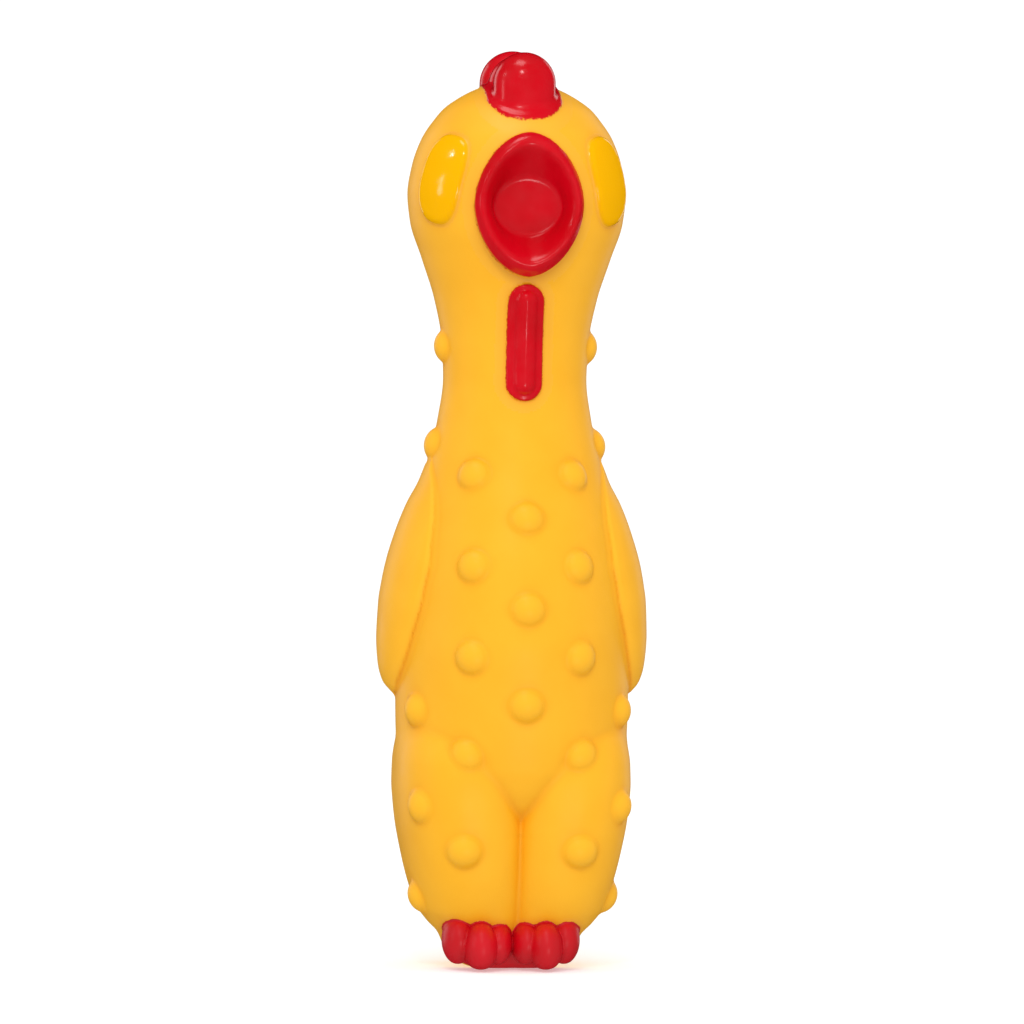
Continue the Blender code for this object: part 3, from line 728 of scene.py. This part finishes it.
def surface_net(values):
    """Points and four-sided faces of the zero surface: one point in each grid cell that it crosses."""
    inside = values < 0
    counts = np.array(values.shape) - 1
    block = [inside[i : i + counts[0], j : j + counts[1], k : k + counts[2]] for i, j, k in CORNERS]
    total = sum(part.astype(np.int8) for part in block)
    crossed = (total > 0) & (total < 8)
    cells = np.argwhere(crossed)
    corner_values = np.stack([values[tuple((cells + corner).T)] for corner in CORNERS], axis=1)
    points = np.zeros((len(cells), 3))
    weight = np.zeros(len(cells))
    for a, b in CELL_EDGES:
        va, vb = corner_values[:, a], corner_values[:, b]
        hit = (va < 0) != (vb < 0)
        t = np.where(hit, va / np.where(hit, va - vb, 1), 0)
        along = CORNERS[a] + t[:, None] * (CORNERS[b] - CORNERS[a])
        points += along * hit[:, None]
        weight += hit
    points = np.array(LOW) + (cells + points / weight[:, None]) * GRID
    number = np.full(crossed.shape, -1)
    number[tuple(cells.T)] = np.arange(len(cells))
    faces = []
    for axis in range(3):
        u, v = (axis + 1) % 3, (axis + 2) % 3
        one = np.eye(3, dtype=int)
        trimmed = [slice(1, -1)] * 3
        trimmed[axis] = slice(0, -1)
        ahead = [slice(1, -1)] * 3
        ahead[axis] = slice(1, None)
        first, second = inside[tuple(trimmed)], inside[tuple(ahead)]
        for leaving, order in ((True, 1), (False, -1)):
            found = np.argwhere((first != second) & (first == leaving))
            start = found + 1
            start[:, axis] -= 1
            ring = [start - one[u] - one[v], start - one[v], start, start - one[u]]
            quads = np.stack([number[tuple(corner.T)] for corner in ring], axis=1)
            faces.append(quads[:, ::order])
    return points, np.concatenate(faces)


def settle(points, rounds=3):
    """Moves the points on to the surface, and returns them with its normals."""
    for _ in range(rounds):
        slope = gradient(chicken, points)
        steepness = np.maximum((slope**2).sum(axis=1), 0.05)
        move = -chicken(points)[:, None] * slope / steepness[:, None]
        length = np.linalg.norm(move, axis=1)
        points = points + move * np.minimum(1, 0.3 / np.maximum(length, 1e-9))[:, None]
    normals = gradient(chicken, points)
    return points, normals / np.linalg.norm(normals, axis=1)[:, None]


def even_out(points, faces, rounds=2):
    """Slides the points towards the middle of their neighbours, so that the faces are of one size."""
    for _ in range(rounds):
        total = np.zeros_like(points)
        count = np.zeros(len(points))
        for a in range(4):
            for b in ((a + 1) % 4, (a + 3) % 4):
                np.add.at(total, faces[:, a], points[faces[:, b]])
                np.add.at(count, faces[:, a], 1)
        slope = gradient(chicken, points)
        slope /= np.linalg.norm(slope, axis=1)[:, None]
        pull = (total / count[:, None] - points) * 0.5
        pull -= (pull * slope).sum(axis=1)[:, None] * slope
        points = points + pull
    return points


# ------------------------------------------------------------ paint and pieces


def relief_of(p, reach):
    """How strongly the surface bulges at each point, in 1/mm: negative in hollows and creases."""
    middle = chicken(p)
    total = np.zeros(len(p))
    for axis in range(3):
        for way in (-reach, reach):
            shifted = p.copy()
            shifted[:, axis] += way
            total += chicken(shifted) - middle
    return total / reach**2


def paint_distance(p):
    """Distance outside the red paint, negative where it is painted; and which red feature is nearest."""
    z = p[:, 2]
    low, high = WATTLE_PAINT
    outlines = {
        "comb": np.where(z > COMB_PAINTED_FROM, PAINTED, comb_skirt_outline(p)),
        "beak_rim": np.where(z < BEAK_PAINT_FROM, NOWHERE_NEAR, beak_outline(p)),
        "wattle": np.where((z > high) | (z < low), NOWHERE_NEAR, capsule_outline(p, WATTLE_RADIUS)),
    }
    raised, _ = trunk(p)
    features = {}
    for name, outline in outlines.items():
        side_wall = np.maximum(outline - SIDE_WALL, PAINT_FOOT - raised)
        features[name] = np.minimum(outline, side_wall)
    top, back, reach, half_width = FEET_PAINT
    outside_front = np.maximum(z - top, p[:, 1] - back)
    outside_front = np.maximum(outside_front, np.abs(p[:, 0] - TOES_OFF_CENTRE) - half_width)
    for name, distance in all_toes(p).items():
        between = np.maximum(outside_front, distance - reach) * FEET_PAINT_FADE
        features[name] = np.minimum(distance - TOE_PAINT, between)
    names = list(features)
    stacked = np.stack([features[name] for name in names])
    return stacked.min(axis=0), np.array(names)[stacked.argmin(axis=0)]


def piece_of(p):
    """The CAD node that each point of the surface belongs to."""
    x, y, z = p.T
    bare_trunk, direction = trunk(p)
    cuts = (
        (WAIST[0], "waist_band"),
        (WAIST[1], "torso_skin"),
        (LOWER_NECK[0], "lower_neck_band"),
        (LOWER_NECK[1], "neck_skin"),
        (UPPER_NECK[0], "upper_neck_band"),
        (UPPER_NECK[1], "head_skin"),
    )
    label = np.full(len(p), "legs_skin", dtype="U24")
    for height, name in cuts:
        label[z >= height] = name
    share, _ = wing_share(z, direction)
    on_wing = (share < 1.0) & (z > WING[-2][0]) & (z < WING_TOP) & (bare_trunk > WING_LIFT)
    label[on_wing & (x > 0)] = "left_wing"
    label[on_wing & (x < 0)] = "right_wing"
    on_tail = ellipsoid(p, *TAIL) < TAIL_MARGIN
    label[on_tail] = "tail"
    half_width, low, high = BELLY_CAP_BOX
    in_cap = -y + BELLY_TILT * z > BELLY_CAP[0]
    label[in_cap & (np.abs(x) < half_width) & (z > low) & (z < high)] = "belly_panel"
    for side, name in ((1, "left_eye"), (-1, "right_eye")):
        outline, _ = eye_outline(p, side)
        label[(outline < EYE_MARGIN) & (z > EYES_FROM)] = name
    paint, nearest = paint_distance(p)
    painted = paint < PAINT_MARGIN
    label[painted] = nearest[painted]
    in_mouth = (label == "beak_rim") & (funnel(p) < MOUTH_MARGIN) & (y > MOUTH_POCKET_FRONT)
    label[in_mouth] = "mouth_pocket"
    return label


BODIES = frame["record"]["behaviour"]["bodies"]
BODY_OF = {name: body for body, names in BODIES.items() for name in names}


def attribute(mesh, name, values):
    mesh.attributes.new(name, "FLOAT", "POINT").data.foreach_set("value", values.astype(np.float32))


def keep_rest_places(mesh):
    """Stores each point's place in mm, so that patterns stay on the skin when it bends."""
    places = np.zeros(len(mesh.vertices) * 3, np.float32)
    mesh.vertices.foreach_get("co", places)
    mesh.attributes.new("rest_place", "FLOAT_VECTOR", "POINT").data.foreach_set("vector", places / MM)


def make_piece(name, points, normals, faces, facts, material):
    """One piece of the skin: the given faces of the whole mesh, with its points' facts as attributes."""
    used, faces = np.unique(faces, return_inverse=True)
    faces = faces.reshape(-1, 4)
    mesh = bpy.data.meshes.new(f"{name}_visual")
    mesh.from_pydata((points[used] * MM).tolist(), [], faces.tolist())
    mesh.polygons.foreach_set("use_smooth", [True] * len(mesh.polygons))
    for fact, values in facts.items():
        attribute(mesh, fact, values[used])
    mesh.normals_split_custom_set_from_vertices(normals[used].tolist())
    keep_rest_places(mesh)
    mesh.materials.append(material)
    obj = bpy.data.objects.new(f"{name}_visual", mesh)
    bpy.context.scene.collection.objects.link(obj)
    return obj


def upright_bend(body_a, body_b, heights):
    return (body_a, body_b, (0, 0, heights[0]), (0, 0, heights[1]))


def belly_bend():
    """Start and end of the belly cap's bend: points on a line square to the plane that cuts the cap off."""
    square = Vector((0, -1, BELLY_TILT))
    scale = 1 / square.length_squared
    return [tuple(square * (distance * scale)) for distance in BELLY_CAP]


BENDS = {
    "waist_band": upright_bend("legs", "torso", WAIST),
    "lower_neck_band": upright_bend("torso", "neck", LOWER_NECK),
    "left_wing": upright_bend("torso", "neck", LOWER_NECK),
    "right_wing": upright_bend("torso", "neck", LOWER_NECK),
    "upper_neck_band": upright_bend("neck", "head", UPPER_NECK),
    "wattle": upright_bend("neck", "head", UPPER_NECK),
    "belly_panel": ("torso", "belly", *belly_bend()),
}


def place(obj, name):
    if name in BENDS:
        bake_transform(obj)
    else:
        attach(obj, BODY_OF[name])
    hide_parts(name)


# ------------------------------------------------------------ materials


class Nodes:
    """Shorthand for building a material's node tree."""

    def __init__(self, name):
        self.material = bpy.data.materials.new(name)
        self.material.use_nodes = True
        self.tree = self.material.node_tree
        self.shader = self.tree.nodes["Principled BSDF"]

    def add(self, kind, **settings):
        node = self.tree.nodes.new(kind)
        for key, value in settings.items():
            setattr(node, key, value)
        return node

    def link(self, source, target):
        self.tree.links.new(source, target)

    def math(self, operation, a, b=0.0):
        node = self.add("ShaderNodeMath", operation=operation)
        for socket, value in zip(node.inputs, (a, b)):
            if isinstance(value, (int, float)):
                socket.default_value = value
            else:
                self.link(value, socket)
        return node.outputs[0]

    def attribute(self, name):
        return self.add("ShaderNodeAttribute", attribute_name=name).outputs["Fac"]

    def noise(self, scale, detail=2.0, roughness=0.5):
        node = self.add("ShaderNodeTexNoise")
        place = self.add("ShaderNodeAttribute", attribute_name="rest_place")
        self.link(place.outputs["Vector"], node.inputs["Vector"])
        node.inputs["Scale"].default_value = scale
        node.inputs["Detail"].default_value = detail
        node.inputs["Roughness"].default_value = roughness
        return node.outputs["Fac"]

    def remap(self, value, low, high, to_low=0.0, to_high=1.0):
        node = self.add("ShaderNodeMapRange")
        self.link(value, node.inputs["Value"])
        for socket, number in zip(("From Min", "From Max", "To Min", "To Max"), (low, high, to_low, to_high)):
            node.inputs[socket].default_value = number
        return node.outputs["Result"]

    def mix(self, factor, a, b, kind="RGBA"):
        node = self.add("ShaderNodeMix", data_type=kind)
        sockets = [s for s in node.inputs if s.enabled]
        for socket, value in zip(sockets, (factor, a, b)):
            if isinstance(value, (int, float, tuple)):
                socket.default_value = value
            else:
                self.link(value, socket)
        return [s for s in node.outputs if s.enabled][0]


def painted_skin(name, paint_roughness, specular):
    """Soft satin vinyl, with red paint where the paint attribute is negative, and varnish on the eyes; the
    yellow carries a painted highlight on bulges and painted shade in creases and hollows.
    """
    n = Nodes(name)
    speckle = n.math("SUBTRACT", n.noise(2.2, 3.0, 0.7), 0.5)
    waver = n.math("SUBTRACT", n.noise(0.5, 1.0), 0.5)
    edge = n.math("ADD", n.attribute("paint"), n.math("MULTIPLY", speckle, EDGE_SPECKLE))
    edge = n.math("ADD", edge, n.math("MULTIPLY", waver, EDGE_WAVER))
    painted = n.remap(edge, EDGE_BLUR, -EDGE_BLUR)
    varnished = n.remap(n.attribute("varnish"), VARNISH_BLUR, -VARNISH_BLUR)
    mottle = n.remap(n.noise(0.09, 3.0), 0.35, 0.65)
    yellow = n.mix(mottle, YELLOW, YELLOW_DEEP)
    relief = n.attribute("relief")
    # Painted highlight: lighter yellow on bulges.
    yellow = n.mix(n.remap(relief, 0.22, 0.5), yellow, YELLOW_PAINTED_HIGHLIGHT)
    # Painted shade: deeper orange in tight creases, and half as much in wider hollows.
    yellow = n.mix(n.remap(relief, -0.12, -2.4), yellow, YELLOW_PAINTED_SHADE)
    yellow = n.mix(n.remap(n.attribute("depth"), 0.0, -0.5, 0.0, 0.5), yellow, YELLOW_PAINTED_SHADE)
    yellow = n.mix(varnished, yellow, VARNISHED)
    red = n.mix(mottle, RED, RED_DEEP)
    n.link(n.mix(painted, yellow, red), n.shader.inputs["Base Color"])
    satin = n.remap(n.noise(0.25, 3.0), 0.3, 0.7, *SATIN_ROUGHNESS)
    roughest = paint_roughness + PAINT_ROUGHNESS_SPREAD
    gloss = n.remap(n.noise(0.35, 3.0), 0.3, 0.7, paint_roughness, roughest)
    roughness = n.mix(painted, satin, gloss, "FLOAT")
    roughness = n.mix(varnished, roughness, VARNISH_ROUGHNESS, "FLOAT")
    n.link(roughness, n.shader.inputs["Roughness"])
    grain = n.math("MULTIPLY", n.noise(6.0, 2.0), GRAIN_DEPTH)
    orange_peel = n.math("MULTIPLY", n.noise(0.9, 2.0), ORANGE_PEEL_DEPTH)
    texture = n.math("ADD", grain, orange_peel)
    paint_step = n.math("MULTIPLY", painted, PAINT_THICKNESS)
    bump = n.add("ShaderNodeBump")
    bump.inputs["Strength"].default_value = 1.0
    bump.inputs["Distance"].default_value = MM
    n.link(n.math("ADD", texture, paint_step), bump.inputs["Height"])
    n.link(bump.outputs["Normal"], n.shader.inputs["Normal"])
    n.shader.inputs["IOR"].default_value = VINYL_IOR
    n.shader.inputs["Specular IOR Level"].default_value = specular
    return n.material


def squeaker_material(name, colour, roughness, translucent):
    """Moulded plastic, barely mottled."""
    n = Nodes(name)
    coordinates = n.add("ShaderNodeTexCoord")
    swirl = n.add("ShaderNodeTexNoise")
    n.link(coordinates.outputs["Object"], swirl.inputs["Vector"])
    swirl.inputs["Scale"].default_value = 400
    swirl.inputs["Detail"].default_value = 3
    darker = tuple(c * 0.9 for c in colour[:3]) + (1,)
    n.link(n.mix(swirl.outputs["Fac"], colour, darker), n.shader.inputs["Base Color"])
    uneven = n.remap(swirl.outputs["Fac"], 0.3, 0.7, roughness, roughness + 0.1)
    n.link(uneven, n.shader.inputs["Roughness"])
    n.shader.inputs["Transmission Weight"].default_value = translucent
    return n.material


def finish_squeaker():
    plastic = squeaker_material("milky_plastic", MILKY, 0.3, 0.0)
    film = squeaker_material("reed_film", FILM, 0.12, 0.3)
    for name in ("squeaker_cup", "squeaker_plate", "squeaker_clamp", "squeaker_cap", "squeaker_reed"):
        node = frame["nodes"][name]
        for slot in node.material_slots:
            slot.material = film if name == "squeaker_reed" else plastic


# ------------------------------------------------------------ studio


def aim(obj, target, roll=0.0):
    direction = Vector(target) - obj.location
    turn = direction.to_track_quat("-Z", "Y") @ Matrix.Rotation(roll, 4, "Z").to_quaternion()
    obj.rotation_mode = "QUATERNION"
    obj.rotation_quaternion = turn


def soft_light(name, place, size, power, shines, shows):
    """A soft box. It lights surfaces if it shines, and is mirrored in glossy ones if it shows."""
    data = bpy.data.lights.new(name, "AREA")
    data.shape = "RECTANGLE"
    data.size, data.size_y = size
    data.energy = power
    obj = bpy.data.objects.new(name, data)
    bpy.context.scene.collection.objects.link(obj)
    obj.location = place
    obj.visible_camera = False
    obj.visible_diffuse = shines
    obj.visible_glossy = shows
    aim(obj, LIGHTS_AIM)


def stage_piece(name, rings, material):
    """A sheet through rows of points."""
    width = len(rings[0])
    mesh = bpy.data.meshes.new(name)
    faces = []
    for i in range(len(rings) - 1):
        for j in range(width - 1):
            corner = i * width + j
            faces.append((corner, corner + 1, corner + width + 1, corner + width))
    mesh.from_pydata([point for ring in rings for point in ring], [], faces)
    mesh.polygons.foreach_set("use_smooth", [True] * len(mesh.polygons))
    mesh.materials.append(material)
    obj = bpy.data.objects.new(name, mesh)
    bpy.context.scene.collection.objects.link(obj)
    return obj


def paper(name, colour, glow):
    """Plain paper: barely mottled, and lit from behind by a glow."""
    n = Nodes(name)
    coordinates = n.add("ShaderNodeTexCoord")
    fibre = n.add("ShaderNodeTexNoise")
    n.link(coordinates.outputs["Object"], fibre.inputs["Vector"])
    fibre.inputs["Scale"].default_value = 30
    tint = n.mix(fibre.outputs["Fac"], (*[c * 0.985 for c in colour], 1), (*colour, 1))
    n.link(tint, n.shader.inputs["Base Color"])
    n.shader.inputs["Roughness"].default_value = 0.9
    n.shader.inputs["Specular IOR Level"].default_value = 0.0
    n.shader.inputs["Emission Color"].default_value = (1, 1, 1, 1)
    n.shader.inputs["Emission Strength"].default_value = glow
    return n.material


def sweep():
    """A round floor that curves up into a wall. Only the camera sees it; the world lights the object."""
    profile = [(0.0, 0.0), (SWEEP_FLAT, 0.0)]
    for step in range(1, SWEEP_STEPS + 1):
        angle = math.radians(90 * step / SWEEP_STEPS)
        radius = SWEEP_FLAT + SWEEP_BEND * math.sin(angle)
        profile.append((radius, SWEEP_BEND - SWEEP_BEND * math.cos(angle)))
    profile.append((SWEEP_FLAT + SWEEP_BEND, SWEEP_TOP))
    turns = [math.tau * i / SWEEP_TURNS for i in range(SWEEP_TURNS + 1)]
    rings = [[(r * math.cos(a), r * math.sin(a), z) for a in turns] for r, z in profile]
    sheet = stage_piece("sweep", rings, paper("pale_paper", PAPER, SWEEP_GLOW))
    sheet.visible_diffuse = False
    sheet.visible_glossy = False
    sheet.visible_shadow = False


def studio_world():
    """White light from all round. Gloss doesn't mirror it, only the soft boxes."""
    world = bpy.data.worlds.new("studio")
    bpy.context.scene.world = world
    world.use_nodes = True
    background = world.node_tree.nodes["Background"]
    background.inputs["Color"].default_value = (1, 1, 1, 1)
    background.inputs["Strength"].default_value = WORLD
    world.cycles_visibility.glossy = False


def studio_camera():
    data = bpy.data.cameras.new("camera")
    data.sensor_width = 36
    data.lens = CAMERA_LENS
    data.clip_start, data.clip_end = 0.01, 30
    camera = bpy.data.objects.new("camera", data)
    bpy.context.scene.collection.objects.link(camera)
    a, e = math.radians(CAMERA_AZIMUTH), math.radians(CAMERA_ELEVATION)
    back = Vector((math.sin(a) * math.cos(e), -math.cos(a) * math.cos(e), math.sin(e)))
    camera.location = Vector(CAMERA_TARGET) + back * CAMERA_DISTANCE
    aim(camera, CAMERA_TARGET, math.radians(CAMERA_ROLL))
    bpy.context.scene.camera = camera


def studio():
    sweep()
    studio_world()
    for name, settings in SOFT_BOXES.items():
        soft_light(name, *settings)
    studio_camera()
    bpy.context.scene.view_settings.view_transform = "Standard"


# ------------------------------------------------------------ making it


def build():
    """The skin, piece by piece."""
    points, faces = surface_net(grid_values())
    points = even_out(points, faces)
    points, normals = settle(points)
    paint, _ = paint_distance(points)
    varnish = np.minimum(eye_outline(points, 1)[0], eye_outline(points, -1)[0])
    varnish = np.where(points[:, 2] > EYES_FROM, varnish, NOWHERE_NEAR)
    facts = {
        "paint": paint,
        "varnish": varnish,
        # relief and depth also set the painted highlight on bulges and the painted shade in creases and
        # hollows.
        "relief": relief_of(points, RELIEF_REACH),
        "depth": relief_of(points, DEPTH_REACH),
    }
    labels = piece_of(points[faces].mean(axis=1))
    skin = painted_skin("yellow_vinyl", 0.3, 0.25)
    glossy = painted_skin("glossy_paint", 0.17, 0.5)
    satin = painted_skin("satin_paint", 0.36, 0.4)
    for name in sorted(set(labels)):
        material = skin
        if name.endswith("_toe"):
            material = satin
        elif name in RED_PIECES or name.endswith("_eye"):
            material = glossy
        obj = make_piece(name, points, normals, faces[labels == name], facts, material)
        place(obj, name)


build()
finish_squeaker()
studio()
